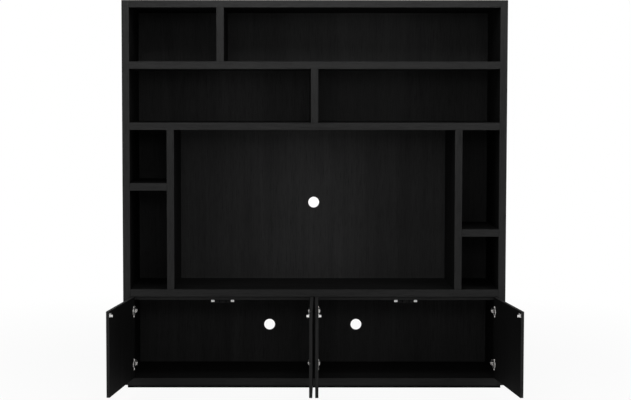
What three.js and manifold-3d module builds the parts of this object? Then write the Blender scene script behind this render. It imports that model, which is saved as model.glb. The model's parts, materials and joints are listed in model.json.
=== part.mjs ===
// A television wall unit in black wood grain: a wide niche for the screen, two rows of open compartments
// above it, a narrow column of compartments on each side, and a low base with two cupboards. Four flush doors
// without handles turn on concealed cup hinges and are held by sprung touch latches. Each cupboard and the
// niche have a round cable hole in the back. The doors stand open, as they do when the unit is on show.
//
// Millimetres, +Z up. The origin is on the floor under the middle of the unit's body, and the front faces -Y.

import * as THREE from "three";
import { mergeVertices } from "three/addons/utils/BufferGeometryUtils.js";
import Module from "manifold-3d";

const wasm = await Module();
wasm.setup();

// Overall sizes and the thick boards
const unitWidth = 2000;
const unitDepth = 440;
const boardThickness = 38;
const fitGap = 0.25;
const cutOverrun = 5;

// Clear heights, from the floor up
const skidHeight = 8;
const plinthHeight = 8;
const baseClearHeight = 430;
const nicheClearHeight = 834;
const rowClearHeight = 279;

// Places of the upright boards and of the small shelves
const upperRowLeftClearWidth = 453;
const columnClearWidth = 192.5;
const columnShelfSpacing = 278;

// Back panels, in a rebate of the outer boards
const backThickness = 8;
const backRecess = 5;
const rebateWidth = 9;
const cableHoleDiameter = 60;
const nicheCableHoleRightOfMiddle = 4;
const nicheCableHoleAboveMiddle = 7;
const baseCableHoleFromMiddle = 240.5;
const baseCableHoleBelowMiddle = 5.5;

// Base: partition, rails and plinth
const partitionThickness = 16;
const partitionSetback = 21;
const railThickness = 20;
const railDepth = 80;
const railSetback = 19;
const plinthFrontSetback = 15;
const plinthBackSetback = 20;
const plinthSideInset = 19.5;
const plinthBattenWidth = 45;
const skidWidth = 30;

// Doors
const doorThickness = 16;
const doorSideGap = 2;
const doorMeetingGap = 3;
const doorTopGap = 2.5;
const doorBottomGap = 2.5;
const outerLeftOpenDegrees = 98.2;
const innerLeftOpenDegrees = 88.4;
const innerRightOpenDegrees = 91;
const outerRightOpenDegrees = 97;

// Concealed hinges: the pivot's place in the door, then the cup, its flange and its links
const hingeFromDoorTop = 75;
const hingeFromDoorBottom = 72;
const pivotFromEdge = 6.5;
const pivotFromFace = 3.5;
const seatGap = 0.25;
const cupFromEdge = 22.5;
const cupDiameter = 35;
const cupDepth = 11.5;
const cupWall = 1;
const pocketClearance = 0.3;
const flangeThickness = 2;
const flangeRingWidth = 2;
const flangeSpan = 62;
const flangeLobeDiameter = 14;
const flangeNeckWidth = 10;
const linkThickness = 2.5;
const linkNoseReach = 7;
const linkFootWidth = 6;
const linkFootFromWall = 3.5;
const linkSideGap = 0.3;

// Concealed hinges: the arm and its mounting plate
const armWebFromPivot = 22.7;
const armWebThickness = 1.5;
const armWebWidth = 17.5;
const armCheekGap = 12;
const armCheekThickness = 2;
const armTipWidth = 5.5;
const armTipFromPivot = 15.25;
const armFloorClearance = 1.25;
const armCrankLength = 18;
const armLength = 80;
const armRearRise = 18;
const armFootStart = 28;
const armNeckWidth = 9;
const plateThickness = 3;
const plateWidth = 20;
const plateWingSpan = 50;
const plateWingWidth = 16;
const plateWingFromPivot = 37;

// Touch latches under the rail, and the strikers on the doors
const latchSpan = 120;
const latchBodyWidth = 74;
const latchBodyDepth = 38;
const latchFloorThickness = 2;
const bracketThickness = 1.5;
const bracketDepth = 26;
const bracketLugWidth = 17;
const bracketLugHeight = 12;
const bracketStripSetback = 8;
const catchHeight = 12.5;
const catchWidth = 12;
const catchLength = 30;
const catchJawThickness = 2.5;
const catchSlotDepth = 13.5;
const catchStroke = 8;
const catchRunGap = 0.3;
const catchFrontGap = 0.75;
const springSpace = 4;
const strikerFromEdge = 16;
const strikerRailGap = 0.5;
const strikerPlateWidth = 28;
const strikerPlateFromDoorTop = 11;
const strikerPlateThickness = 1.75;
const strikerReach = 13;
const strikerTongueThickness = 3.5;
const strikerBeadDiameter = 5;
const strikerTongueHeight = 11;

// How finely round shapes are cut
const holeSides = 48;
const cupSides = 28;
const lobeSides = 16;

const blackOak = { color: 0x15130f, roughness: 0.55, metalness: 0 };
const blackBack = { color: 0x100f0d, roughness: 0.6, metalness: 0 };
const nickel = { color: 0xb9b6ae, roughness: 0.3, metalness: 1 };
const zinc = { color: 0xc9c6bd, roughness: 0.35, metalness: 1 };
const blackPlastic = { color: 0x0c0c0c, roughness: 0.5, metalness: 0 };

// Heights of the boards, from the floor up
const floorBottom = skidHeight + plinthHeight;
const floorTop = floorBottom + boardThickness;
const baseTopBottom = floorTop + baseClearHeight;
const baseTopTop = baseTopBottom + boardThickness;
const middleShelfBottom = baseTopTop + nicheClearHeight;
const middleShelfTop = middleShelfBottom + boardThickness;
const upperShelfBottom = middleShelfTop + rowClearHeight;
const upperShelfTop = upperShelfBottom + boardThickness;
const topPanelBottom = upperShelfTop + rowClearHeight;
const unitTop = topPanelBottom + boardThickness;

// Planes that several boards share. Y is counted from the boards' front edges, and the whole unit moves to
// its origin at the end.
const innerHalfWidth = unitWidth / 2 - boardThickness;
const backFace = unitDepth - backRecess - backThickness;
const uprightInner = innerHalfWidth - columnClearWidth - boardThickness;
const railBottom = baseTopBottom - railThickness;

// Doors and latches
const doorWidth = (innerHalfWidth - doorSideGap - doorMeetingGap - doorMeetingGap / 2) / 2;
const doorBottom = floorTop + doorBottomGap;
const doorHeight = baseClearHeight - doorTopGap - doorBottomGap;
const doorMeeting = innerHalfWidth - doorSideGap - doorWidth - doorMeetingGap / 2;
const hingeHeights = {
  top: doorBottom + doorHeight - hingeFromDoorTop,
  bottom: doorBottom + hingeFromDoorBottom,
};
const doorInside = doorThickness - pivotFromFace;
const cupCentre = cupFromEdge - pivotFromEdge;
const cupRadius = cupDiameter / 2;
const catchFront = doorThickness + seatGap + strikerPlateThickness + catchFrontGap;
const latchFront = catchFront + catchStroke;
const bracketBottom = railBottom - fitGap - bracketThickness;
const latchTop = bracketBottom - fitGap;
const catchTop = latchTop - catchRunGap;
const catchMiddle = catchTop - catchHeight / 2;
const strikerMiddle = railBottom - strikerRailGap - strikerTongueHeight / 2;

const unit = new THREE.Group();

// A closed mesh as a solid that can be joined and cut
function solid(geometry) {
  const bare = geometry.clone();
  bare.deleteAttribute("normal");
  bare.deleteAttribute("uv");
  const merged = mergeVertices(bare);
  const mesh = new wasm.Mesh({
    numProp: 3,
    vertProperties: new Float32Array(merged.getAttribute("position").array),
    triVerts: new Uint32Array(merged.index.array),
  });
  return new wasm.Manifold(mesh);
}

function geometryOf(made) {
  const mesh = made.getMesh();
  const geometry = new THREE.BufferGeometry();
  geometry.setAttribute("position", new THREE.BufferAttribute(mesh.vertProperties, 3));
  geometry.setIndex(new THREE.BufferAttribute(mesh.triVerts, 1));
  geometry.computeVertexNormals();
  return geometry;
}

function joined(solids) {
  return solids.reduce((whole, piece) => whole.add(piece));
}

// A box between two corners
function boxBetween(low, high) {
  const size = high.map((value, axis) => value - low[axis]);
  const geometry = new THREE.BoxGeometry(...size);
  const middle = high.map((value, axis) => (value + low[axis]) / 2);
  return geometry.translate(...middle);
}

// A cylinder whose axis runs along Y, from one place to another
function cylinderAlongY(radius, x, z, front, back, sides) {
  const length = back - front;
  const geometry = new THREE.CylinderGeometry(radius, radius, length, sides);
  return geometry.translate(x, (front + back) / 2, z);
}

function outline(points) {
  return new THREE.Shape(points.map(([x, y]) => new THREE.Vector2(x, y)));
}

// A flat outline in X and Y, made as thick as height and centred on Z = 0
function slab(points, height) {
  const geometry = new THREE.ExtrudeGeometry(outline(points), { depth: height, bevelEnabled: false });
  return geometry.translate(0, 0, -height / 2);
}

function place(parent, name, geometry, look) {
  const mesh = new THREE.Mesh(geometry, new THREE.MeshStandardMaterial(look));
  mesh.name = name;
  parent.add(mesh);
  return mesh;
}

// A side panel's section is an L: its inner back edge is rebated for the back panels
function sidePanelGeometry() {
  const section = [
    [0, 0],
    [boardThickness, 0],
    [boardThickness, backFace],
    [boardThickness - rebateWidth, backFace],
    [boardThickness - rebateWidth, unitDepth],
    [0, unitDepth],
  ];
  const height = unitTop - floorBottom;
  return new THREE.ExtrudeGeometry(outline(section), { depth: height, bevelEnabled: false });
}

function addSidePanels() {
  for (const [name, way] of [["side_panel_left", 1], ["side_panel_right", -1]]) {
    const panel = place(unit, name, sidePanelGeometry(), blackOak);
    panel.scale.x = way;
    panel.position.set((-way * unitWidth) / 2, 0, floorBottom);
  }
}

// The top panel and the base floor are rebated too, the top below and the floor above
function rebatedBoard(bottom, top, rebateAbove) {
  const half = innerHalfWidth - fitGap;
  const board = solid(boxBetween([-half, 0, bottom], [half, unitDepth, top]));
  const low = rebateAbove ? top - rebateWidth : bottom - cutOverrun;
  const high = rebateAbove ? top + cutOverrun : bottom + rebateWidth;
  const rebate = boxBetween(
    [-half - cutOverrun, backFace, low],
    [half + cutOverrun, unitDepth + cutOverrun, high],
  );
  return geometryOf(board.subtract(solid(rebate)));
}

// Boards that run from side to side and stop at the back panels
function wideBoard(bottom) {
  const half = innerHalfWidth - fitGap;
  return boxBetween([-half, 0, bottom], [half, backFace - fitGap, bottom + boardThickness]);
}

function addWideBoards() {
  place(unit, "top_panel", rebatedBoard(topPanelBottom, unitTop, false), blackOak);
  place(unit, "upper_shelf", wideBoard(upperShelfBottom), blackOak);
  place(unit, "middle_shelf", wideBoard(middleShelfBottom), blackOak);
  place(unit, "base_top", wideBoard(baseTopBottom), blackOak);
  place(unit, "base_floor", rebatedBoard(floorBottom, floorTop, true), blackOak);
}

// An upright board between two wide ones
function uprightBoard(left, bottom, clearHeight) {
  return boxBetween(
    [left, 0, bottom + fitGap],
    [left + boardThickness, backFace - fitGap, bottom + clearHeight - fitGap],
  );
}

function addUprights() {
  const upperLeft = -innerHalfWidth + upperRowLeftClearWidth;
  const lowerLeft = -boardThickness / 2;
  place(unit, "upper_row_divider", uprightBoard(upperLeft, upperShelfTop, rowClearHeight), blackOak);
  place(unit, "lower_row_divider", uprightBoard(lowerLeft, middleShelfTop, rowClearHeight), blackOak);
  const leftOfLeft = -uprightInner - boardThickness;
  place(unit, "niche_upright_left", uprightBoard(leftOfLeft, baseTopTop, nicheClearHeight), blackOak);
  place(unit, "niche_upright_right", uprightBoard(uprightInner, baseTopTop, nicheClearHeight), blackOak);
}

// The small shelf hangs below the niche ceiling on the left and stands above the base top on the right
function addColumnShelves() {
  const outer = innerHalfWidth - fitGap;
  const inner = innerHalfWidth - columnClearWidth + fitGap;
  const leftTop = middleShelfBottom - columnShelfSpacing;
  const rightBottom = baseTopTop + columnShelfSpacing;
  const rear = backFace - fitGap;
  const left = boxBetween([-outer, 0, leftTop - boardThickness], [-inner, rear, leftTop]);
  const right = boxBetween([inner, 0, rightBottom], [outer, rear, rightBottom + boardThickness]);
  place(unit, "column_shelf_left", left, blackOak);
  place(unit, "column_shelf_right", right, blackOak);
}

// One back panel, with a cable hole where one is asked for
function backPanel(left, right, bottom, top, hole) {
  const low = [left, backFace, bottom];
  const high = [right, backFace + backThickness, top];
  const panel = boxBetween(low, high);
  if (!hole) return panel;
  const front = backFace - cutOverrun;
  const back = backFace + backThickness + cutOverrun;
  const bore = cylinderAlongY(cableHoleDiameter / 2, hole.x, hole.z, front, back, holeSides);
  return geometryOf(solid(panel).subtract(solid(bore)));
}

// The panels meet behind the boards, so no seam shows from the front
function addBackPanels() {
  const outer = innerHalfWidth + rebateWidth - fitGap;
  const seam = fitGap / 2;
  const upperSeam = middleShelfBottom + boardThickness / 2;
  const lowerSeam = baseTopBottom + boardThickness / 2;
  const columnSeam = uprightInner + boardThickness / 2;
  const top = topPanelBottom + rebateWidth - fitGap;
  const bottom = floorTop - rebateWidth + fitGap;
  const nicheHoleHeight = baseTopTop + nicheClearHeight / 2 + nicheCableHoleAboveMiddle;
  const nicheHole = { x: nicheCableHoleRightOfMiddle, z: nicheHoleHeight };
  const baseHole = floorTop + baseClearHeight / 2 - baseCableHoleBelowMiddle;
  const panels = [
    ["back_upper", -outer, outer, upperSeam + seam, top, null],
    ["back_column_left", -outer, -columnSeam - seam, lowerSeam + seam, upperSeam - seam, null],
    ["back_niche", -columnSeam + seam, columnSeam - seam, lowerSeam + seam, upperSeam - seam, nicheHole],
    ["back_column_right", columnSeam + seam, outer, lowerSeam + seam, upperSeam - seam, null],
    ["back_base_left", -outer, -seam, bottom, lowerSeam - seam, { x: -baseCableHoleFromMiddle, z: baseHole }],
    ["back_base_right", seam, outer, bottom, lowerSeam - seam, { x: baseCableHoleFromMiddle, z: baseHole }],
  ];
  for (const [name, ...sizes] of panels) place(unit, name, backPanel(...sizes), blackBack);
}

function addPartitionAndRails() {
  const half = partitionThickness / 2;
  const rear = backFace - fitGap;
  const partition = boxBetween(
    [-half, partitionSetback, floorTop + fitGap],
    [half, rear, baseTopBottom - fitGap],
  );
  place(unit, "centre_partition", partition, blackOak);
  for (const [name, way] of [["front_rail_left", -1], ["front_rail_right", 1]]) {
    const rail = boxBetween(
      [half + fitGap, railSetback, railBottom],
      [innerHalfWidth - fitGap, railSetback + railDepth, baseTopBottom - fitGap],
    );
    place(unit, name, rail, blackOak).scale.x = way;
  }
}

// Battens under the floor, each on a black skid: one along the front, one along the back and one between them
function addPlinth() {
  const half = unitWidth / 2 - plinthSideInset;
  const front = plinthFrontSetback;
  const back = unitDepth - plinthBackSetback;
  const crossFront = front + plinthBattenWidth + fitGap;
  const crossBack = back - plinthBattenWidth - fitGap;
  const rows = [
    ["front", half, front, front + plinthBattenWidth, front, front + skidWidth],
    ["back", half, back - plinthBattenWidth, back, back - skidWidth, back],
    ["middle", plinthBattenWidth / 2, crossFront, crossBack, crossFront, crossBack],
  ];
  for (const [name, reach, battenFront, battenBack, skidFront, skidBack] of rows) {
    const batten = boxBetween([-reach, battenFront, skidHeight], [reach, battenBack, floorBottom - fitGap]);
    const skid = boxBetween([-reach, skidFront, 0], [reach, skidBack, skidHeight - fitGap]);
    place(unit, `plinth_${name}`, batten, blackOak);
    place(unit, `skid_${name}`, skid, blackPlastic);
  }
}

// From here to the strikers, X and Y are counted from the hinge's pivot with the door shut: X along the door
// to its free edge, Y from the front to the back. A hinge on the right is the same one mirrored.

function doorGeometry() {
  const low = [-pivotFromEdge, -pivotFromFace, doorBottom];
  const high = [doorWidth - pivotFromEdge, doorInside, doorBottom + doorHeight];
  const bottomOfPocket = doorInside + seatGap - cupDepth - pocketClearance;
  const pockets = Object.values(hingeHeights).map((z) =>
    cylinderAlongY(
      cupRadius + pocketClearance,
      cupCentre,
      z,
      bottomOfPocket,
      doorInside + cutOverrun,
      cupSides,
    ),
  );
  const board = solid(boxBetween(low, high));
  return geometryOf(pockets.reduce((door, pocket) => door.subtract(solid(pocket)), board));
}

// The flange: a ring round the cup, and a neck with a lobe for a screw above and below it
function flangeSolid() {
  const front = doorInside + seatGap;
  const back = front + flangeThickness;
  const lobeRadius = flangeLobeDiameter / 2;
  const lobeHeight = flangeSpan / 2 - lobeRadius;
  const neck = boxBetween(
    [cupCentre - flangeNeckWidth / 2, front, -lobeHeight],
    [cupCentre + flangeNeckWidth / 2, back, lobeHeight],
  );
  const ring = cylinderAlongY(cupRadius + flangeRingWidth, cupCentre, 0, front, back, cupSides);
  const lobes = [-lobeHeight, lobeHeight].map((z) =>
    cylinderAlongY(lobeRadius, cupCentre, z, front, back, lobeSides),
  );
  return joined([neck, ring, ...lobes].map(solid));
}

// The link rises from the cup's floor and hooks over its rim. Its nose lies between the arm's two cheeks when
// the door is open, and swings out past the door's edge when it is shut.
function linkSolid(cupFloor) {
  const foot = cupCentre - cupRadius + cupWall + linkFootFromWall;
  const root = cupFloor - cupWall / 2;
  const rim = doorInside + seatGap;
  const top = rim + linkThickness;
  const points = [
    [foot, root],
    [foot + linkFootWidth, root],
    [foot + linkFootWidth / 2, rim + linkThickness / 2],
    [foot, top],
    [-linkNoseReach, top],
    [-linkNoseReach, rim],
    [foot / 2, rim],
  ];
  return solid(slab(points, armCheekGap - 2 * linkSideGap));
}

function cupGeometry() {
  const mouth = doorInside + seatGap;
  const bottom = mouth - cupDepth;
  const cup = cylinderAlongY(cupRadius, cupCentre, 0, bottom, mouth + flangeThickness / 2, cupSides);
  const inside = cylinderAlongY(
    cupRadius - cupWall,
    cupCentre,
    0,
    bottom + cupWall,
    mouth + flangeThickness + cutOverrun,
    cupSides,
  );
  const shell = solid(cup).add(flangeSolid()).subtract(solid(inside));
  return geometryOf(shell.add(linkSolid(bottom + cupWall)));
}

// The arm reaches from its plate on the side or partition to the mouth of the cup. mountFace is where that
// board's face lies: the crank is deeper on a door set inside the frame than on one that laps the partition.
function armGeometry(mountFace) {
  const tip = doorInside + seatGap - cupDepth + cupWall + armFloorClearance;
  const lip = doorInside + seatGap + flangeThickness;
  const webInner = armWebFromPivot - armWebThickness;
  const plateTop = mountFace + fitGap + plateThickness;
  const sunk = plateTop - plateThickness / 2;
  const rear = mountFace + armRearRise;
  const bend = 2 * armCrankLength;
  const cheek = [
    [armTipFromPivot, tip],
    [armTipFromPivot + armTipWidth, tip],
    [armTipFromPivot + armTipWidth + armWebThickness, lip],
    [armWebFromPivot, armCrankLength],
    [armWebFromPivot, bend],
    [rear, armLength],
    [sunk, armLength],
    [sunk, armFootStart],
    [plateTop + armNeckWidth / 2, armFootStart],
    [armNeckWidth, armFootStart - armCheekThickness],
    [armNeckWidth, armCrankLength],
    [(armNeckWidth + armTipFromPivot) / 2, doorInside],
  ];
  const cheekAt = (way) => {
    const middle = (way * (armCheekGap + armCheekThickness)) / 2;
    return slab(cheek, armCheekThickness).translate(0, 0, middle);
  };
  const web = [
    [webInner, armCrankLength],
    [armWebFromPivot, armCrankLength],
    [armWebFromPivot, bend],
    [rear, armLength],
    [rear - armWebThickness, armLength],
    [webInner, bend],
  ];
  const plate = boxBetween(
    [mountFace + fitGap, armFootStart, -plateWidth / 2],
    [plateTop, armLength, plateWidth / 2],
  );
  const wings = boxBetween(
    [mountFace + fitGap, plateWingFromPivot - plateWingWidth / 2, -plateWingSpan / 2],
    [plateTop, plateWingFromPivot + plateWingWidth / 2, plateWingSpan / 2],
  );
  return geometryOf(joined([cheekAt(1), cheekAt(-1), slab(web, armWebWidth), plate, wings].map(solid)));
}

// A plate on the door with a tongue that ends in a bead, which the catch takes between its jaws. The tongue
// passes close under the rail.
function strikerGeometry() {
  const middle = doorWidth - pivotFromEdge - strikerFromEdge;
  const seat = doorInside + seatGap;
  const plateBack = seat + strikerPlateThickness;
  const plateTop = doorBottom + doorHeight - strikerPlateFromDoorTop - strikerMiddle;
  const plate = boxBetween(
    [middle - strikerPlateWidth / 2, seat, -strikerTongueHeight / 2],
    [middle + strikerPlateWidth / 2, plateBack, plateTop],
  );
  const beadMiddle = seat + strikerReach - strikerBeadDiameter / 2;
  const tongue = boxBetween(
    [middle - strikerTongueThickness / 2, plateBack - strikerPlateThickness / 2, -strikerTongueHeight / 2],
    [middle + strikerTongueThickness / 2, beadMiddle, strikerTongueHeight / 2],
  );
  const radius = strikerBeadDiameter / 2;
  const bead = new THREE.CylinderGeometry(radius, radius, strikerTongueHeight, lobeSides)
    .rotateX(Math.PI / 2)
    .translate(middle, beadMiddle, 0);
  return geometryOf(joined([plate, tongue, bead].map(solid)));
}

// A door hangs on the left when way is 1 and on the right when it is -1. Its edge is the one at the hinges,
// and face is where the board that carries them has its face.
function addDoor(name, way, edge, face, openDegrees) {
  const pivot = edge + way * pivotFromEdge;
  const leaf = new THREE.Group();
  leaf.position.set(pivot, pivotFromFace, 0);
  leaf.rotation.z = -way * THREE.MathUtils.degToRad(openDegrees);
  leaf.scale.x = way;
  place(leaf, `door_${name}`, doorGeometry(), blackOak);
  place(leaf, `striker_${name}`, strikerGeometry(), zinc).position.z = strikerMiddle;

  const fixed = new THREE.Group();
  fixed.position.set(pivot, pivotFromFace, 0);
  fixed.scale.x = way;
  const mountFace = way * (face - pivot);
  for (const [level, height] of Object.entries(hingeHeights)) {
    place(leaf, `hinge_cup_${name}_${level}`, cupGeometry(), nickel).position.z = height;
    place(fixed, `hinge_arm_${name}_${level}`, armGeometry(mountFace), nickel).position.z = height;
  }
  unit.add(leaf, fixed);
}

function addDoors() {
  const outerEdge = innerHalfWidth - doorSideGap;
  const innerEdge = doorMeetingGap / 2;
  const innerFace = partitionThickness / 2;
  addDoor("outer_left", 1, -outerEdge, -innerHalfWidth, outerLeftOpenDegrees);
  addDoor("inner_left", -1, -innerEdge, -innerFace, innerLeftOpenDegrees);
  addDoor("inner_right", 1, innerEdge, innerFace, innerRightOpenDegrees);
  addDoor("outer_right", -1, outerEdge, innerHalfWidth, outerRightOpenDegrees);
}

// The latch bracket: a strip of sheet metal under the rail. At each end it reaches forward and is bent down
// to a lug.
function bracketGeometry() {
  const high = bracketBottom + bracketThickness;
  const half = latchSpan / 2;
  const rear = latchFront + bracketDepth;
  const strip = boxBetween([-half, latchFront + bracketStripSetback, bracketBottom], [half, rear, high]);
  const endsAt = (left) => {
    const right = left + bracketLugWidth;
    const arm = boxBetween([left, latchFront, bracketBottom], [right, rear, high]);
    const lugBottom = high - bracketLugHeight;
    const lug = boxBetween([left, latchFront, lugBottom], [right, latchFront + bracketThickness, high]);
    return [arm, lug];
  };
  const pieces = [strip, ...endsAt(-half), ...endsAt(half - bracketLugWidth)];
  return geometryOf(joined(pieces.map(solid)));
}

// The latch body, with two channels that are open to the front and covered by the bracket
function latchGeometry() {
  const bottom = latchTop - catchHeight - 2 * catchRunGap - latchFloorThickness;
  const half = latchBodyWidth / 2;
  const rear = latchFront + latchBodyDepth;
  const body = solid(boxBetween([-half, latchFront, bottom], [half, rear, latchTop]));
  const reach = catchWidth / 2 + catchRunGap;
  const channels = [-1, 1].map((way) => {
    const x = way * (strikerFromEdge + doorMeetingGap / 2);
    const end = catchFront + catchLength + catchStroke + springSpace;
    const low = [x - reach, latchFront - cutOverrun, bottom + latchFloorThickness];
    return solid(boxBetween(low, [x + reach, end, latchTop + cutOverrun]));
  });
  return geometryOf(channels.reduce((made, channel) => made.subtract(channel), body));
}

// A catch: a block with two jaws, which slides in its channel
function catchGeometry() {
  const half = catchWidth / 2;
  const jaw = half - catchJawThickness;
  const points = [
    [-half, catchFront],
    [-jaw, catchFront],
    [-jaw, catchFront + catchSlotDepth],
    [jaw, catchFront + catchSlotDepth],
    [jaw, catchFront],
    [half, catchFront],
    [half, catchFront + catchLength],
    [-half, catchFront + catchLength],
  ];
  return slab(points, catchHeight);
}

function addLatches() {
  for (const [side, way] of [["left", -1], ["right", 1]]) {
    const middle = way * doorMeeting;
    place(unit, `latch_bracket_${side}`, bracketGeometry(), zinc).position.x = middle;
    place(unit, `latch_body_${side}`, latchGeometry(), blackPlastic).position.x = middle;
    for (const [door, outward] of [["outer", 1], ["inner", -1]]) {
      const x = middle + way * outward * (strikerFromEdge + doorMeetingGap / 2);
      const name = `latch_catch_${door}_${side}`;
      place(unit, name, catchGeometry(), blackPlastic).position.set(x, 0, catchMiddle);
    }
  }
}

addSidePanels();
addWideBoards();
addUprights();
addColumnShelves();
addBackPanels();
addPartitionAndRails();
addPlinth();
addDoors();
addLatches();
unit.position.y = -unitDepth / 2;

export default unit;
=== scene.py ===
"""Looks of the television wall unit: black wood-grain boards, nickel hinges and a white studio.

Lengths are in metres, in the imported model's frame: the origin is on the floor under the middle of
the unit's body, the front faces -Y and +Z is up.
"""

import json
import math

import bmesh
import bpy
from mathutils import Matrix, Vector


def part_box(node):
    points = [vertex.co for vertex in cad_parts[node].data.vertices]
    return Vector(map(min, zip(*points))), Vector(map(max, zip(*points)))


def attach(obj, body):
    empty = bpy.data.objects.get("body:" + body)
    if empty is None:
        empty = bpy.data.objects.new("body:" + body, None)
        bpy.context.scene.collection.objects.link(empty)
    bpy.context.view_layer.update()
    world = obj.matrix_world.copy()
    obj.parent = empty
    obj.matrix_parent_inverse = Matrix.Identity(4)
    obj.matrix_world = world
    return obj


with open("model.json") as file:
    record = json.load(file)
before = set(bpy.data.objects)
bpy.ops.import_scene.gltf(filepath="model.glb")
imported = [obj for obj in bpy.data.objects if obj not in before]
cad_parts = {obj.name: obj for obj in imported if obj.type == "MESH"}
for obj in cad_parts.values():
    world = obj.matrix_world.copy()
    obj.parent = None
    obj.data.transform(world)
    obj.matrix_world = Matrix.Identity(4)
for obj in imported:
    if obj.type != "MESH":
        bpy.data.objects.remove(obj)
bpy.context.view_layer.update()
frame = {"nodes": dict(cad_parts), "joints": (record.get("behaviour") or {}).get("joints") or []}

nodes = frame["nodes"]
joints = {joint["name"]: joint for joint in frame["joints"]}

DOORS = ("outer_left", "inner_left", "inner_right", "outer_right")
LEVELS = ("top", "bottom")
SIDES = {"left": -1, "right": 1}
BOTH_WAYS = (1, -1)
TO_FRONT = (0, -1, 0)
TO_BACK = (0, 1, 0)

# The photograph's frame, and the camera that was fitted to the board edges, doors and holes in it
PHOTO_WIDTH_PX = 631
FOCAL_PX = 1286
SENSOR_WIDTH_MM = 36
CAMERA_PLACE = (-0.127, -6.904, 1.511)
CAMERA_TILT = math.radians(3.0)
CAMERA_ROLL = math.radians(0.03)
CAMERA_SHIFT = (0.0403, -0.0515)

# Studio. The camera sees the floor a little darker than white within the first distance of the
# fade, and white beyond the second.
ROOM_REACH = 14.0
FLOOR_WHITE = 0.92
FLOOR_FADE = (1.0, 3.4)
FLOOR_TONES = (0.86, 0.9)
AMBIENT = 0.2
# Soft boxes: place, point they face, width and height, watts
SOFT_BOXES = {
    "front": ((0, -5.6, 2.35), (0, 0, 1.2), (3.0, 0.9), 31),
    "above": ((0, -3.2, 2.9), (0, 0, 1.4), (3.0, 1.0), 8),
    "crown": ((0, -0.9, 2.5), (0, -0.2, 1.9), (2.2, 0.4), 17),
    "below": ((0, -1.3, 0.03), (0, -0.7, 1.0), (3.0, 1.2), 3.5),
    "left": ((-3.2, -3.4, 1.7), (0, 0, 1.0), (1.6, 2.0), 14),
    "right": ((3.2, -3.4, 1.7), (0, 0, 1.0), (1.6, 2.0), 14),
    "near_left": ((-2.3, -1.5, 1.25), (-0.9, -0.2, 1.1), (0.5, 2.2), 16),
    "near_right": ((2.3, -1.5, 1.25), (0.9, -0.2, 1.1), (0.5, 2.2), 16),
}


# Colours are linear, with an alpha of 1


def linear(value):
    """One sRGB byte as a linear value."""
    share = value / 255
    return share / 12.92 if share <= 0.04045 else ((share + 0.055) / 1.055) ** 2.4


def grey(value, warmth=0.0):
    """A grey from its sRGB byte, with a little more red and less blue where it is warm."""
    level = linear(value)
    return (level * (1 + warmth), level, level * (1 - warmth), 1)


def scaled(color, share):
    return tuple(channel * share for channel in color[:3]) + (1,)


# Materials


class Shader:
    """A material under construction, with short ways to add and join its nodes."""

    def __init__(self, name):
        self.material = bpy.data.materials.new(name)
        self.material.use_nodes = True
        tree = self.material.node_tree
        self.nodes = tree.nodes
        self.links = tree.links
        self.surface = self.nodes["Principled BSDF"]

    def add(self, kind, **settings):
        """A node. Each setting is a property of it or else an input, with _ for a space."""
        node = self.nodes.new(kind)
        for name, value in settings.items():
            if hasattr(node, name):
                setattr(node, name, value)
            else:
                node.inputs[name.replace("_", " ")].default_value = value
        return node

    def join(self, start, end, start_socket=0, end_socket=0):
        self.links.new(start.outputs[start_socket], end.inputs[end_socket])
        return end

    def coordinates(self, scale):
        """Object coordinates in metres, times a scale for each axis."""
        place = self.add("ShaderNodeTexCoord")
        mapping = self.add("ShaderNodeMapping")
        mapping.inputs["Scale"].default_value = scale
        return self.join(place, mapping, "Object", "Vector")

    def noise(self, scale, detail, roughness=0.5, distortion=0.0):
        settings = {"Detail": detail, "Roughness": roughness, "Distortion": distortion}
        noise = self.add("ShaderNodeTexNoise", Scale=1, **settings)
        return self.join(self.coordinates(scale), noise, 0, "Vector")

    def ramp(self, source, low, first, high, second):
        """From the first colour where the source is low to the second where it is high."""
        ramp = self.add("ShaderNodeValToRGB")
        stops = ((low, first), (high, second))
        for element, (position, color) in zip(ramp.color_ramp.elements, stops):
            element.position = position
            element.color = color
        return self.join(source, ramp, 0, "Fac")

    def values(self, source, low, high, to_low, to_high, socket=0):
        limits = {"From_Min": low, "From_Max": high, "To_Min": to_low, "To_Max": to_high}
        return self.join(source, self.add("ShaderNodeMapRange", **limits), socket, "Value")

    def arithmetic(self, operation, first, second):
        """A sum, difference or product of two nodes, or of a node and a number."""
        node = self.add("ShaderNodeMath", operation=operation)
        for index, source in enumerate((first, second)):
            if isinstance(source, (int, float)):
                node.inputs[index].default_value = source
            else:
                self.join(source, node, 0, index)
        return node

    def times(self, source, share):
        return self.arithmetic("MULTIPLY", source, share)

    def blended(self, factor, source, color):
        """From the source's colour at a factor of 0 to the given one at 1."""
        mix = self.add("ShaderNodeMix", data_type="RGBA")
        inputs = {socket.identifier: socket for socket in mix.inputs}
        self.join(factor, mix, 0, "Factor")
        self.links.new(source.outputs[0], inputs["A_Color"])
        inputs["B_Color"].default_value = color
        return mix

    def bump(self, height, strength, distance):
        bump = self.add("ShaderNodeBump", Strength=strength, Distance=distance)
        self.join(height, bump, 0, "Height")
        self.join(bump, self.surface, 0, "Normal")


# The colour output of a Mix node, after its number and vector outputs
MIXED_COLOR = 2

# Noise scales of the wood grain across and along it, per metre
BAND_SCALE = (9, 0.55)
STREAK_SCALE = (46, 0.9)
PORE_SCALE = (620, 14)
CLOUD_SCALE = (2.4, 1.1)


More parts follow.
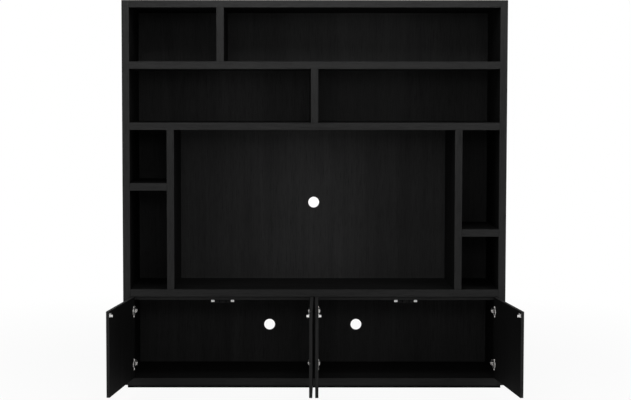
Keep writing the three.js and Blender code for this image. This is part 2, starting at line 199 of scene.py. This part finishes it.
def oak_foil(name, along, dark, light, specular):
    """Black foil printed and embossed with an open wood grain that runs along X, Y or Z.

    Bands some 10 cm wide and streaks some 2 cm wide give the board its figure. Fine pores, less
    than 2 mm wide and a few centimetres long, are a little darker, deeper and duller than the foil
    between them.
    """
    shader = Shader(name)

    def stretched(scales):
        across_scale, along_scale = scales
        return [along_scale if axis == along else across_scale for axis in "XYZ"]

    bands = shader.noise(stretched(BAND_SCALE), 5, 0.55, 1.3)
    streaks = shader.noise(stretched(STREAK_SCALE), 6, 0.62, 0.5)
    pores = shader.noise(stretched(PORE_SCALE), 3, 0.6, 0.15)
    clouds = shader.noise(stretched(CLOUD_SCALE), 3)

    figure = shader.arithmetic("ADD", shader.times(bands, 0.45), shader.times(streaks, 0.4))
    figure = shader.arithmetic("ADD", figure, shader.times(clouds, 0.15))
    pits = shader.values(pores, 0.52, 0.66, 0, 1)
    color = shader.ramp(figure, 0.32, dark, 0.68, light)
    color = shader.blended(shader.times(pits, 0.7), color, scaled(dark, 0.45))
    shader.join(color, shader.surface, MIXED_COLOR, "Base Color")

    dull = shader.values(figure, 0.3, 0.7, 0.72, 0.64)
    dull = shader.arithmetic("ADD", dull, shader.times(pits, 0.12))
    shader.join(dull, shader.surface, 0, "Roughness")
    shader.surface.inputs["Specular IOR Level"].default_value = specular

    height = shader.arithmetic("SUBTRACT", shader.times(streaks, 0.3), pits)
    shader.bump(height, 0.35, 0.0002)
    return shader.material


def plated_metal(name, color, roughness, metallic):
    """Plated sheet steel: faint rolling marks, and soft blotches that are duller and darker."""
    shader = Shader(name)
    blotches = shader.noise((60, 60, 60), 4, 0.6)
    marks = shader.noise((2400, 180, 180), 2)
    tint = shader.ramp(blotches, 0.3, scaled(color, 0.82), 0.7, color)
    shader.join(tint, shader.surface, 0, "Base Color")
    shader.surface.inputs["Metallic"].default_value = metallic
    dull = shader.values(blotches, 0.3, 0.7, roughness * 1.25, roughness * 0.85)
    shader.join(dull, shader.surface, 0, "Roughness")
    shader.bump(marks, 0.12, 0.00005)
    return shader.material


def moulded_plastic(name, color, roughness, specular):
    """Plastic or rubber from a spark-eroded mould: a fine even grain on a slightly cloudy tone."""
    shader = Shader(name)
    grain = shader.noise((1800, 1800, 1800), 2)
    clouds = shader.noise((30, 30, 30), 3)
    tint = shader.ramp(clouds, 0.3, color, 0.7, scaled(color, 1.35))
    shader.join(tint, shader.surface, 0, "Base Color")
    dull = shader.values(grain, 0.3, 0.7, roughness * 0.85, roughness * 1.15)
    shader.join(dull, shader.surface, 0, "Roughness")
    shader.surface.inputs["Specular IOR Level"].default_value = specular
    shader.bump(grain, 0.25, 0.00008)
    return shader.material


oak_upright = oak_foil("black_oak_upright", "Z", grey(31), grey(40), 0.05)
oak_level = oak_foil("black_oak_level", "X", grey(31), grey(40), 0.05)
oak_across = oak_foil("black_oak_across", "Y", grey(31), grey(40), 0.05)
oak_back = oak_foil("black_oak_back", "Z", grey(33), grey(43), 0.05)
# Darker copies of the foil for the faces inside the compartments and the doors' inner faces:
# painted shade.
painted_shade_upright = oak_foil("painted_shade_upright", "Z", grey(9), grey(16), 0.02)
painted_shade_level = oak_foil("painted_shade_level", "X", grey(12), grey(19), 0.02)
nickel = plated_metal("nickel", grey(240, 0.02), 0.45, 1)
arm_nickel = plated_metal("polished_nickel", grey(240, 0.02), 0.28, 1)
# A darker, duller copy of the nickel for the faces inside the hinge cups: painted shade.
cup_painted_shade = plated_metal("nickel_painted_shade_in_cup", grey(80, 0.02), 0.65, 1)
zinc = plated_metal("bright_zinc", grey(232, 0.01), 0.5, 0.75)
latch_zinc = plated_metal("latch_zinc", grey(196, 0.01), 0.5, 0.75)
plastic = moulded_plastic("black_plastic", grey(10), 0.7, 0.1)
# Near-black rubber for the skids, darkened further to paint the contact shade in the gap under the
# unit.
skid_rubber_and_shade = moulded_plastic("skid_rubber_and_shade", grey(5), 0.9, 0.02)


# Places on a door. In a door's own space the door is shut: X runs from the pivot to the free edge,
# Y to the back and Z up from the floor. Heights on a hinge are from the hinge's middle.

CUP_CENTRE = 0.016
CUP_MOUTH = 0.0126
CUP_MOUTH_RADIUS = 0.0172
FLANGE_TOP = 0.01475
LOBE_HEIGHT = 0.024
WEB_FACE = 0.0227
WEB_BEND = 0.036
ARM_END = 0.08
ARM_REAR_RISE = 0.018
PLATE_RISE = 0.00325
WING_SCREW_PLACE = (0.037, 0.0185)
LINK_PIN_PLACE = (0.018, 0.0085)
CHEEK_FACE = 0.008
STRIKER_FACE = 0.0145
STRIKER_MIDDLE = 0.45525
STRIKER_SCREW_REACH = 0.0092
STRIKER_SCREW_DROP = 0.0085
# The face that a door's hinge plates lie on: a side panel or the partition
MOUNT_FACES = {"outer_left": -0.0085, "outer_right": -0.0085, "inner_left": 0, "inner_right": 0}

# Places of the latch brackets' screws, in the unit's own space. The first is from the front edge.
LATCH_FRONT = 0.02675
LATCH_MIDDLE = 0.48075
LUG_FROM_MIDDLE = 0.0515
LUG_HEIGHT = 0.4578


def door_space(door, swung):
    """From a door's own space to the unit's, at the photo's opening angle or shut.

    A hinge counts its angle from the photo's pose. One limit shuts the door and the other opens
    it a little further, so the larger limit is the opening angle. A right-hand door is mirrored.
    """
    joint = joints[f"door_{door}_hinge"]
    way = -joint["axis"][2]
    opening = math.radians(max(abs(limit) for limit in joint["range_deg"])) if swung else 0
    along = (way * math.cos(opening), -math.sin(opening), 0)
    back = (way * math.sin(opening), math.cos(opening), 0)
    place = Matrix((along, back, (0, 0, 1))).transposed().to_4x4()
    place.translation = (joint["pos_m"][0], joint["pos_m"][1], 0)
    return place


# Boards and other pieces that keep their solid

BOARD_ROUNDING = 0.0008
BODY_ROUNDING = 0.0004
SMALL_ROUNDING = 0.0003
FINE_ROUNDING = 0.0002
ROUNDED_FROM = math.radians(35)
WELD_DISTANCE = 0.00001
# How far along a direction a face's normal has to point for the face to look that way
FACING = 0.9

UPRIGHT_BOARDS = (
    "side_panel_left", "side_panel_right", "upper_row_divider", "lower_row_divider",
    "niche_upright_left", "niche_upright_right", "centre_partition",
)
LEVEL_BOARDS = (
    "top_panel", "upper_shelf", "middle_shelf", "base_top", "base_floor", "column_shelf_left",
    "column_shelf_right", "front_rail_left", "front_rail_right", "plinth_front", "plinth_back",
)
BACK_PANELS = (
    "back_upper", "back_column_left", "back_niche", "back_column_right", "back_base_left",
    "back_base_right",
)
SKIDS = ("skid_front", "skid_back", "skid_middle")


def dress(name, material, bevel, segments=2, painted_shade_material=None, in_painted_shade=None, smooth=True):
    """Gives a carried-over solid its material, and rounds its edges a little.

    The faces for which the test is true get the second, darker material instead, which paints shade
    on them.
    """
    piece = nodes[name]
    piece.data.materials.clear()
    piece.data.materials.append(material)
    if painted_shade_material:
        piece.data.materials.append(painted_shade_material)
    for polygon in piece.data.polygons:
        polygon.material_index = 1 if painted_shade_material and in_painted_shade(polygon) else 0
    if "custom_normal" in piece.data.attributes:
        piece.data.attributes.remove(piece.data.attributes["custom_normal"])
    piece.data.polygons.foreach_set("use_smooth", [smooth] * len(piece.data.polygons))
    weld = piece.modifiers.new("weld", "WELD")
    weld.merge_threshold = WELD_DISTANCE
    rounding = piece.modifiers.new("rounding", "BEVEL")
    rounding.width = bevel
    rounding.segments = segments
    rounding.limit_method = "ANGLE"
    rounding.angle_limit = ROUNDED_FROM
    rounding.harden_normals = smooth


def faces_inside(name):
    """True for the faces of a board that line a compartment. They get a darker copy of the foil,
    which is painted shade.
    """
    inward = {"side_panel_left": (1, 0, 0), "side_panel_right": (-1, 0, 0), "top_panel": (0, 0, -1)}
    if name in inward:
        return lambda polygon: polygon.normal.dot(Vector(inward[name])) > FACING
    return lambda polygon: abs(polygon.normal.y) < FACING and polygon.normal.z > -FACING


def faces_back(door):
    """True for the broad face of a door that looks into the unit when the door is shut. It gets a
    darker copy of the foil, which is painted shade.
    """
    back = door_space(door, True).to_3x3() @ Vector(TO_BACK)
    return lambda polygon: polygon.normal.dot(back) > FACING


def in_the_cup(door, name):
    """True for a hinge cup's faces below its mouth, which get a darker, duller nickel as painted
    shade.
    """
    to_door = door_space(door, True).inverted()
    low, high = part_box(name)
    middle = (low.z + high.z) / 2

    def lies_inside(polygon):
        place = to_door @ polygon.center
        from_axis = math.hypot(place.x - CUP_CENTRE, place.z - middle)
        return place.y < CUP_MOUTH and from_axis < CUP_MOUTH_RADIUS

    return lies_inside


def dress_boards():
    for name in UPRIGHT_BOARDS:
        in_painted_shade = faces_inside(name)
        dress(name, oak_upright, BOARD_ROUNDING, painted_shade_material=painted_shade_upright, in_painted_shade=in_painted_shade)
    for name in LEVEL_BOARDS:
        dress(name, oak_level, BOARD_ROUNDING, painted_shade_material=painted_shade_level, in_painted_shade=faces_inside(name))
    dress("plinth_middle", oak_across, BOARD_ROUNDING)
    for name in BACK_PANELS:
        dress(name, oak_back, FINE_ROUNDING)
    for name in SKIDS:
        dress(name, skid_rubber_and_shade, BOARD_ROUNDING)
    for door in DOORS:
        in_painted_shade = faces_back(door)
        dress(f"door_{door}", oak_upright, BOARD_ROUNDING, painted_shade_material=painted_shade_upright, in_painted_shade=in_painted_shade)


def dress_hardware():
    for door in DOORS:
        dress(f"striker_{door}", zinc, SMALL_ROUNDING)
        for level in LEVELS:
            cup = f"hinge_cup_{door}_{level}"
            dress(cup, nickel, FINE_ROUNDING, painted_shade_material=cup_painted_shade, in_painted_shade=in_the_cup(door, cup))
            dress(f"hinge_arm_{door}_{level}", arm_nickel, SMALL_ROUNDING, 1, smooth=False)
    for side in SIDES:
        dress(f"latch_bracket_{side}", latch_zinc, FINE_ROUNDING, 1, smooth=False)
        dress(f"latch_body_{side}", plastic, BODY_ROUNDING)
        for kind in ("outer", "inner"):
            dress(f"latch_catch_{kind}_{side}", plastic, SMALL_ROUNDING)


# Shapes of the fittings that the solids leave out. A head stands on Z = 0, and its profile goes
# from the middle of its foot to the middle of its top, in shares of its radius and height.

PAN_PROFILE = (
    (0, -0.3), (0.96, -0.3), (1, 0.12), (0.98, 0.45), (0.9, 0.75), (0.72, 0.93), (0.4, 1), (0, 1),
)
PAN_STEPS = 28
DOME_PROFILE = ((0, -0.4), (1, -0.4), (1, 0.25), (0.85, 0.7), (0.5, 0.95), (0, 1))
DOME_STEPS = 16
ROD_CHAMFER = 0.2
ROD_STEPS = 20
RIM_STEPS = 48
RIM_ARCS = 7
# A screw's cross: its reach and width in shares of the radius, its foot and top in shares of the
# height, and how much narrower it is at the foot
CROSS_REACH = 0.56
CROSS_WIDTH = 0.24
CROSS_FOOT = 0.2
CROSS_TOP = 1.5
FOOT_REACH = 0.55
FOOT_WIDTH = 0.35
SHARP_FROM = math.radians(40)


def turned_to(direction):
    """Turns a shape that stands on +Z so that it stands on the direction."""
    return Vector(direction).to_track_quat("Z", "Y").to_matrix().to_4x4()


def placed(spot, direction, turn=0):
    """Stands a shape on a spot along the direction, turned on itself."""
    return Matrix.Translation(spot) @ turned_to(direction) @ Matrix.Rotation(turn, 4, "Z")


def mesh_from(made, name):
    mesh = bpy.data.meshes.new(name)
    made.to_mesh(mesh)
    made.free()
    return mesh


def lathe(profile, steps, name):
    """A shape of revolution round Z from radii and heights, closed where the radius is 0."""
    made = bmesh.new()
    rings = []
    for radius, height in profile:
        if radius == 0:
            rings.append([made.verts.new((0, 0, height))])
            continue
        turns = [2 * math.pi * step / steps for step in range(steps)]
        places = [(radius * math.cos(turn), radius * math.sin(turn), height) for turn in turns]
        rings.append([made.verts.new(place) for place in places])
    for low, high in zip(rings, rings[1:]):
        for step in range(steps):
            corners = [low[step % len(low)], low[(step + 1) % len(low)]]
            corners += [high[(step + 1) % len(high)], high[step % len(high)]]
            face = made.faces.new(list(dict.fromkeys(corners)))
            face.smooth = True
    bmesh.ops.recalc_face_normals(made, faces=made.faces)
    return mesh_from(made, name)


def turned_head(name, profile, steps, diameter, height):
    radius = diameter / 2
    return lathe([(radius * out, height * up) for out, up in profile], steps, name)


def cross_cutter(reach, width, foot, top):
    """Two crossed wedges, narrower at the foot, which sink the cross of a screw head."""
    made = bmesh.new()

    def corners(spin, x, y, height):
        around = ((-x, -y), (x, -y), (x, y), (-x, y))
        return [made.verts.new(spin @ Vector((*corner, height))) for corner in around]

    for turn in (0, math.pi / 2):
        spin = Matrix.Rotation(turn, 3, "Z")
        below = corners(spin, reach * FOOT_REACH, width * FOOT_WIDTH, foot)
        above = corners(spin, reach, width / 2, top)
        made.faces.new(list(reversed(below)))
        made.faces.new(above)
        for index in range(4):
            after = (index + 1) % 4
            made.faces.new((below[index], below[after], above[after], above[index]))
    return mesh_from(made, "cutter")


def screw_head(diameter, height):
    """A pan head with a cross recess."""
    radius = diameter / 2
    pan = turned_head("head", PAN_PROFILE, PAN_STEPS, diameter, height)
    cross = cross_cutter(
        radius * CROSS_REACH, radius * CROSS_WIDTH, height * CROSS_FOOT, height * CROSS_TOP
    )
    head = bpy.data.objects.new("head", pan)
    cutter = bpy.data.objects.new("cutter", cross)
    for part in (head, cutter):
        bpy.context.scene.collection.objects.link(part)
    cut = head.modifiers.new("cut", "BOOLEAN")
    cut.object = cutter
    cut.operation = "DIFFERENCE"
    cut.use_self = True
    graph = bpy.context.evaluated_depsgraph_get()
    mesh = bpy.data.meshes.new_from_object(head.evaluated_get(graph))
    for part in (head, cutter):
        bpy.data.objects.remove(part)
    return mesh


def dome(diameter, height):
    """A rivet or nail head."""
    return turned_head("dome", DOME_PROFILE, DOME_STEPS, diameter, height)


def rod(diameter, length):
    """A pin with small chamfers, centred on the origin along Z."""
    radius, half = diameter / 2, length / 2
    chamfer = radius * ROD_CHAMFER
    profile = [(0, -half), (radius - chamfer, -half), (radius, chamfer - half)]
    profile += [(radius, half - chamfer), (radius - chamfer, half), (0, half)]
    return lathe(profile, ROD_STEPS, "rod")


def rim(radius, thickness):
    """A half-round bead that runs in a circle round Z."""
    made = bmesh.new()
    rings = []
    for step in range(RIM_STEPS):
        turn = 2 * math.pi * step / RIM_STEPS
        ring = []
        for arc in range(RIM_ARCS):
            bend = math.pi * arc / (RIM_ARCS - 1)
            reach = radius + thickness * math.cos(bend) / 2
            height = thickness * math.sin(bend) / 2
            place = (reach * math.cos(turn), reach * math.sin(turn), height)
            ring.append(made.verts.new(place))
        rings.append(ring)
    for ring, after in zip(rings, rings[1:] + rings[:1]):
        for arc in range(RIM_ARCS):
            nearby = (arc + 1) % RIM_ARCS
            face = made.faces.new((ring[arc], after[arc], after[nearby], ring[nearby]))
            face.smooth = True
    bmesh.ops.recalc_face_normals(made, faces=made.faces)
    return mesh_from(made, "rim")


def assemble(name, body, material, parts):
    """One piece from meshes and the matrices that place them, which rides on a body."""
    made = bmesh.new()
    for mesh, place in parts:
        part = bmesh.new()
        part.from_mesh(mesh)
        bmesh.ops.transform(part, matrix=place, verts=part.verts)
        if place.determinant() < 0:
            bmesh.ops.reverse_faces(part, faces=part.faces)
        moved = mesh_from(part, "moved")
        made.from_mesh(moved)
        bpy.data.meshes.remove(moved)
    mesh = mesh_from(made, name)
    mesh.materials.clear()
    mesh.materials.append(material)
    for polygon in mesh.polygons:
        polygon.material_index = 0
    mesh.set_sharp_from_angle(angle=SHARP_FROM)
    piece = bpy.data.objects.new(name, mesh)
    bpy.context.scene.collection.objects.link(piece)
    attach(piece, body)


# Screw, rivet and nail heads on the hinges, strikers, latches and backs. Sizes are diameter and
# height, and the turns of the crosses are in radians.

CUP_SCREW = (0.0084, 0.0015)
WING_SCREW = (0.0086, 0.0017)
SIDE_ADJUSTER = (0.0066, 0.0012)
DEPTH_ADJUSTER = (0.0094, 0.0016)
STRIKER_SCREW = (0.0056, 0.001)
LATCH_SCREW = (0.0068, 0.0012)
RIVET = (0.0048, 0.0006)
NAIL = (0.0042, 0.0005)
NAIL_INSET = 0.006
NAIL_SPACING = 0.14
PIN_DIAMETER = 0.003
PIN_SHORTER = 0.001
MOUTH_BEAD = 0.0011


def cup_fittings():
    """The bead round a cup's mouth and the screws of its flange."""
    head = screw_head(*CUP_SCREW)
    bead = rim(CUP_MOUTH_RADIUS, MOUTH_BEAD)
    parts = [(bead, placed((CUP_CENTRE, FLANGE_TOP, 0), TO_BACK))]
    for height, turn in ((LOBE_HEIGHT, 0.4), (-LOBE_HEIGHT, 1.1)):
        parts.append((head, placed((CUP_CENTRE, FLANGE_TOP, height), TO_BACK, turn)))
    return parts


def arm_fittings(heads, mount):
    """The screws of an arm's wings, the pin and rivets of its link and its adjusting screws."""
    to_free_edge = (1, 0, 0)
    parts = []
    for sign in BOTH_WAYS:
        wing, height = WING_SCREW_PLACE
        spot = (mount + PLATE_RISE, wing, sign * height)
        parts.append((heads["wing"], placed(spot, to_free_edge, 0.7 + sign * 0.5)))
        spot = (*LINK_PIN_PLACE, sign * CHEEK_FACE)
        parts.append((heads["rivet"], placed(spot, (0, 0, sign))))
    parts.append((heads["pin"], Matrix.Translation((*LINK_PIN_PLACE, 0))))
    spot = (WEB_FACE, (LINK_PIN_PLACE[0] + WEB_BEND) / 2, 0)
    parts.append((heads["side"], placed(spot, to_free_edge, 0.3)))
    rear = mount + ARM_REAR_RISE
    square_to_web = Vector((ARM_END - WEB_BEND, WEB_FACE - rear, 0)).normalized()
    spot = ((WEB_FACE + rear) / 2, (WEB_BEND + ARM_END) / 2, 0)
    parts.append((heads["depth"], placed(spot, square_to_web, 0.9)))
    return parts


def add_hinge_fittings():
    on_cup = cup_fittings()
    heads = {
        "wing": screw_head(*WING_SCREW),
        "side": screw_head(*SIDE_ADJUSTER),
        "depth": screw_head(*DEPTH_ADJUSTER),
        "rivet": dome(*RIVET),
        "pin": rod(PIN_DIAMETER, 2 * CHEEK_FACE - PIN_SHORTER),
    }
    for door in DOORS:
        leaf = door_space(door, True)
        fixed = door_space(door, False)
        on_arm = arm_fittings(heads, MOUNT_FACES[door])
        for level in LEVELS:
            low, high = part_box(f"hinge_cup_{door}_{level}")
            up = Matrix.Translation((0, 0, (low.z + high.z) / 2))
            parts = [(mesh, leaf @ up @ place) for mesh, place in on_cup]
            assemble(f"cup_fittings_{door}_{level}", f"door_{door}", nickel, parts)
            parts = [(mesh, fixed @ up @ place) for mesh, place in on_arm]
            assemble(f"arm_fittings_{door}_{level}", "unit", nickel, parts)


def add_striker_screws():
    head = screw_head(*STRIKER_SCREW)
    for door in DOORS:
        leaf = door_space(door, True)
        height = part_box(f"striker_{door}")[1].z - STRIKER_SCREW_DROP
        parts = []
        for sign in BOTH_WAYS:
            spot = (STRIKER_MIDDLE + sign * STRIKER_SCREW_REACH, STRIKER_FACE, height)
            parts.append((head, leaf @ placed(spot, TO_BACK, 0.6 * sign)))
        assemble(f"striker_screws_{door}", f"door_{door}", zinc, parts)


def add_latch_screws():
    head = screw_head(*LATCH_SCREW)
    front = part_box("side_panel_left")[0].y + LATCH_FRONT
    for side, way in SIDES.items():
        parts = []
        for sign in BOTH_WAYS:
            spot = (way * LATCH_MIDDLE + sign * LUG_FROM_MIDDLE, front, LUG_HEIGHT)
            parts.append((head, placed(spot, TO_FRONT, 0.5 + sign)))
        assemble(f"latch_screws_{side}", "unit", latch_zinc, parts)


def nail_places(start, end):
    """Places of a row of nails along a panel, from near one edge to near the other."""
    reach = end - start - 2 * NAIL_INSET
    count = max(2, round(reach / NAIL_SPACING) + 1)
    return [start + NAIL_INSET + reach * index / (count - 1) for index in range(count)]


def add_back_nails():
    """Nail heads round the edges of the back panels."""
    head = dome(*NAIL)
    parts = []
    for name in BACK_PANELS:
        low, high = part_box(name)
        across = (low.x + NAIL_INSET, high.x - NAIL_INSET)
        upright = (low.z + NAIL_INSET, high.z - NAIL_INSET)
        spots = [(x, z) for x in nail_places(low.x, high.x) for z in upright]
        spots += [(x, z) for z in nail_places(low.z, high.z)[1:-1] for x in across]
        parts += [(head, placed((x, high.y, z), TO_BACK)) for x, z in spots]
    assemble("back_nails", "unit", zinc, parts)


# Camera, lamps and surroundings


def add_camera():
    data = bpy.data.cameras.new("camera")
    camera = bpy.data.objects.new("camera", data)
    bpy.context.scene.collection.objects.link(camera)
    bpy.context.scene.camera = camera
    data.sensor_width = SENSOR_WIDTH_MM
    data.lens = SENSOR_WIDTH_MM * FOCAL_PX / PHOTO_WIDTH_PX
    data.shift_x, data.shift_y = CAMERA_SHIFT
    camera.location = CAMERA_PLACE
    level = math.pi / 2 - CAMERA_TILT
    turn = Matrix.Rotation(level, 4, "X") @ Matrix.Rotation(CAMERA_ROLL, 4, "Z")
    camera.rotation_euler = turn.to_euler()


def add_lamps():
    for name, (place, target, size, watts) in SOFT_BOXES.items():
        data = bpy.data.lights.new(name, "AREA")
        data.shape = "RECTANGLE"
        data.size, data.size_y = size
        data.energy = watts
        lamp = bpy.data.objects.new(name, data)
        bpy.context.scene.collection.objects.link(lamp)
        lamp.location = place
        aim = Vector(target) - Vector(place)
        lamp.rotation_euler = aim.to_track_quat("-Z", "Y").to_euler()
        lamp.visible_camera = False


def paths_that_see_white(tree):
    """A node that is 1 for the camera, for reflections and through glass, else 0."""
    path = tree.nodes.new("ShaderNodeLightPath")
    seen = path.outputs["Is Camera Ray"]
    for ray in ("Is Glossy Ray", "Is Transmission Ray"):
        either = tree.nodes.new("ShaderNodeMath")
        either.operation = "MAXIMUM"
        tree.links.new(seen, either.inputs[0])
        tree.links.new(path.outputs[ray], either.inputs[1])
        seen = either.outputs[0]
    return either


def light_the_world():
    """White to the camera and in reflections, and a weak even light on the unit."""
    world = bpy.data.worlds.new("studio")
    bpy.context.scene.world = world
    world.use_nodes = True
    tree = world.node_tree
    background = tree.nodes["Background"]
    background.inputs["Color"].default_value = (1, 1, 1, 1)
    strength = tree.nodes.new("ShaderNodeMapRange")
    strength.inputs["To Min"].default_value = AMBIENT
    strength.inputs["To Max"].default_value = 1
    tree.links.new(paths_that_see_white(tree).outputs[0], strength.inputs["Value"])
    tree.links.new(strength.outputs[0], background.inputs["Strength"])


def add_floor():
    """A pale floor that fades to the white background and keeps the unit's soft shadow."""
    mesh = bpy.data.meshes.new("floor")
    reach = ROOM_REACH
    corners = [(-reach, -reach, 0), (reach, -reach, 0), (reach, reach, 0), (-reach, reach, 0)]
    mesh.from_pydata(corners, [], [(0, 1, 2, 3)])
    floor = bpy.data.objects.new("floor", mesh)
    bpy.context.scene.collection.objects.link(floor)

    shader = Shader("floor")
    darker, lighter = [(tone, tone, tone, 1) for tone in FLOOR_TONES]
    tint = shader.ramp(shader.noise((3, 3, 3), 4), 0.3, darker, 0.7, lighter)
    shader.join(tint, shader.surface, 0, "Base Color")
    shader.surface.inputs["Roughness"].default_value = 0.9
    shader.surface.inputs["Specular IOR Level"].default_value = 0

    distance = shader.add("ShaderNodeVectorMath", operation="LENGTH")
    shader.join(shader.add("ShaderNodeTexCoord"), distance, "Object", 0)
    far = shader.values(distance, *FLOOR_FADE, FLOOR_WHITE, 1, "Value")
    seen = shader.times(far, paths_that_see_white(shader.material.node_tree))
    mix = shader.add("ShaderNodeMixShader")
    shader.join(seen, mix, 0, 0)
    shader.join(shader.surface, mix, 0, 1)
    shader.join(shader.add("ShaderNodeEmission"), mix, 0, 2)
    shader.join(mix, shader.nodes["Material Output"], 0, "Surface")
    mesh.materials.append(shader.material)


bpy.context.scene.view_settings.view_transform = "Standard"
dress_boards()
dress_hardware()
add_hinge_fittings()
add_striker_screws()
add_latch_screws()
add_back_nails()
add_camera()
add_lamps()
light_the_world()
add_floor()
